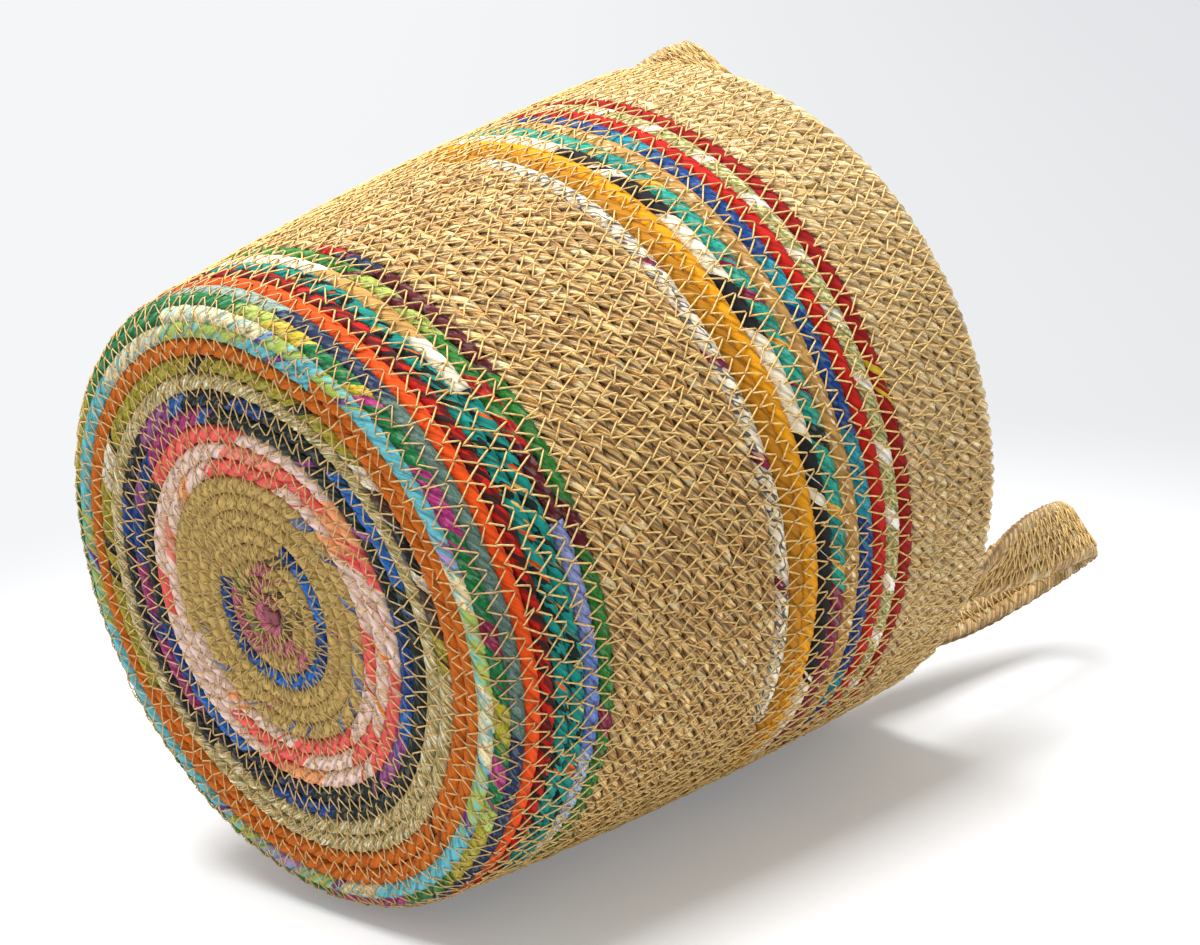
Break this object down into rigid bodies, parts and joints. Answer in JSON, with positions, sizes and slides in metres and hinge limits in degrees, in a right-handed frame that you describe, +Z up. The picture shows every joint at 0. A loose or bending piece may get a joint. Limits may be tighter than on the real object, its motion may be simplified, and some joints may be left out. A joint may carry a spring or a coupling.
{
  "type": "woven plant pot cover",
  "caption": "Round coiled basket that hides a plant pot, with a flat base, slightly flared wall and upright strap handles.",
  "frame": {"origin": "the middle of the coil on the underside of the base, on the plane that the basket rests on", "axes": "+Z up through the mouth, +X 8 degrees short of handle A, which lies toward +Y from it, -X toward handle B"},
  "size_m": [0.2543, 0.242, 0.322],
  "materials": {
    "khaki_knot": "rough twisted twine",
    "centre_khaki_twine": "thin khaki twine wound tightly, matt",
    "base_royal_blue_cloth": "woven cotton strip wound round the cord, matt",
    "base_threaded_seagrass": "twisted dry seagrass, matt with pale and dark strands",
    "base_coral_cloth": "woven cotton strip wound round the cord, matt",
    "base_dark_print_cloth": "woven cotton strip wound round the cord, matt",
    "base_straw_speckle_cloth": "woven cotton strip wound round the cord, matt",
    "base_olive_cloth": "woven cotton strip wound round the cord, matt",
    "base_rust_cloth": "woven cotton strip wound round the cord, matt",
    "corner_light_blue_cloth": "woven cotton strip wound round the cord, matt",
    "corner_emerald_cloth": "woven cotton strip wound round the cord, matt",
    "corner_slate_cloth": "woven cotton strip wound round the cord, matt",
    "lower_orange_cloth": "woven cotton strip wound round the cord, matt",
    "lower_red_slashed_cloth": "woven cotton strip wound round the cord, matt",
    "lower_teal_print_cloth": "woven cotton strip wound round the cord, matt",
    "lower_white_tan_strip": "woven cotton strip wound round the cord, matt",
    "lower_periwinkle_cloth": "woven cotton strip wound round the cord, matt",
    "lower_maroon_green_cloth": "woven cotton strip wound round the cord, matt",
    "lower_wall_seagrass": "twisted dry seagrass, matt with pale and dark strands",
    "band_cream_scribble_cloth": "woven cotton strip wound round the cord, matt",
    "band_dark_mustard_cloth": "woven cotton strip wound round the cord, matt",
    "band_bright_mustard_cloth": "woven cotton strip wound round the cord, matt",
    "band_white_black_cloth": "woven cotton strip wound round the cord, matt",
    "band_teal_print_cloth": "woven cotton strip wound round the cord, matt",
    "band_tan_dotted_cloth": "woven cotton strip wound round the cord, matt",
    "band_royal_blue_cloth": "woven cotton strip wound round the cord, matt",
    "band_bright_red_cloth": "woven cotton strip wound round the cord, matt",
    "band_pale_green_cloth": "woven cotton strip wound round the cord, matt",
    "band_dark_red_cloth": "woven cotton strip wound round the cord, matt",
    "upper_wall_seagrass": "twisted dry seagrass, matt with pale and dark strands",
    "handle_seagrass": "twisted seagrass cord sewn with pale thread"
  },
  "bodies": {
    "basket": {"centre_start_knot": "khaki_knot", "centre_khaki_twine": "centre_khaki_twine", "base_royal_blue_cloth": "base_royal_blue_cloth", "base_threaded_seagrass": "base_threaded_seagrass", "base_coral_cloth": "base_coral_cloth", "base_dark_print_cloth": "base_dark_print_cloth", "base_straw_speckle_cloth": "base_straw_speckle_cloth", "base_olive_cloth": "base_olive_cloth", "base_rust_cloth": "base_rust_cloth", "corner_light_blue_cloth": "corner_light_blue_cloth", "corner_emerald_cloth": "corner_emerald_cloth", "corner_slate_cloth": "corner_slate_cloth", "lower_orange_cloth": "lower_orange_cloth", "lower_red_slashed_cloth": "lower_red_slashed_cloth", "lower_teal_print_cloth": "lower_teal_print_cloth", "lower_white_tan_strip": "lower_white_tan_strip", "lower_periwinkle_cloth": "lower_periwinkle_cloth", "lower_maroon_green_cloth": "lower_maroon_green_cloth", "lower_wall_seagrass": "lower_wall_seagrass", "band_cream_scribble_cloth": "band_cream_scribble_cloth", "band_dark_mustard_cloth": "band_dark_mustard_cloth", "band_bright_mustard_cloth": "band_bright_mustard_cloth", "band_white_black_cloth": "band_white_black_cloth", "band_teal_print_cloth": "band_teal_print_cloth", "band_tan_dotted_cloth": "band_tan_dotted_cloth", "band_royal_blue_cloth": "band_royal_blue_cloth", "band_bright_red_cloth": "band_bright_red_cloth", "band_pale_green_cloth": "band_pale_green_cloth", "band_dark_red_cloth": "band_dark_red_cloth", "upper_wall_seagrass": "upper_wall_seagrass", "handle_a_left_foot_1": "handle_seagrass", "handle_a_right_foot_1": "handle_seagrass", "handle_a_left_foot_2": "handle_seagrass", "handle_a_right_foot_2": "handle_seagrass", "handle_a_left_foot_3": "handle_seagrass", "handle_a_right_foot_3": "handle_seagrass", "handle_a_left_foot_4": "handle_seagrass", "handle_a_right_foot_4": "handle_seagrass", "handle_b_left_foot_1": "handle_seagrass", "handle_b_right_foot_1": "handle_seagrass", "handle_b_left_foot_2": "handle_seagrass", "handle_b_right_foot_2": "handle_seagrass", "handle_b_left_foot_3": "handle_seagrass", "handle_b_right_foot_3": "handle_seagrass", "handle_b_left_foot_4": "handle_seagrass", "handle_b_right_foot_4": "handle_seagrass"},
    "handle_a": {"handle_a_strap_1": "handle_seagrass", "handle_a_strap_2": "handle_seagrass", "handle_a_strap_3": "handle_seagrass", "handle_a_strap_4": "handle_seagrass"},
    "handle_b": {"handle_b_strap_1": "handle_seagrass", "handle_b_strap_2": "handle_seagrass", "handle_b_strap_3": "handle_seagrass", "handle_b_strap_4": "handle_seagrass"}
  },
  "joints": [
    {"name": "handle_a_flex", "type": "hinge", "parent": "basket", "child": "handle_a", "pos_m": [0.10556, 0.01484, 0.227], "axis": [-0.1392, 0.9903, 0], "range_deg": [-30, 30], "stiffness_Nm_per_rad": 0.1},
    {"name": "handle_b_flex", "type": "hinge", "parent": "basket", "child": "handle_b", "pos_m": [-0.10781, 0, 0.227], "axis": [0, -1, 0], "range_deg": [-30, 30], "stiffness_Nm_per_rad": 0.1}
  ]
}
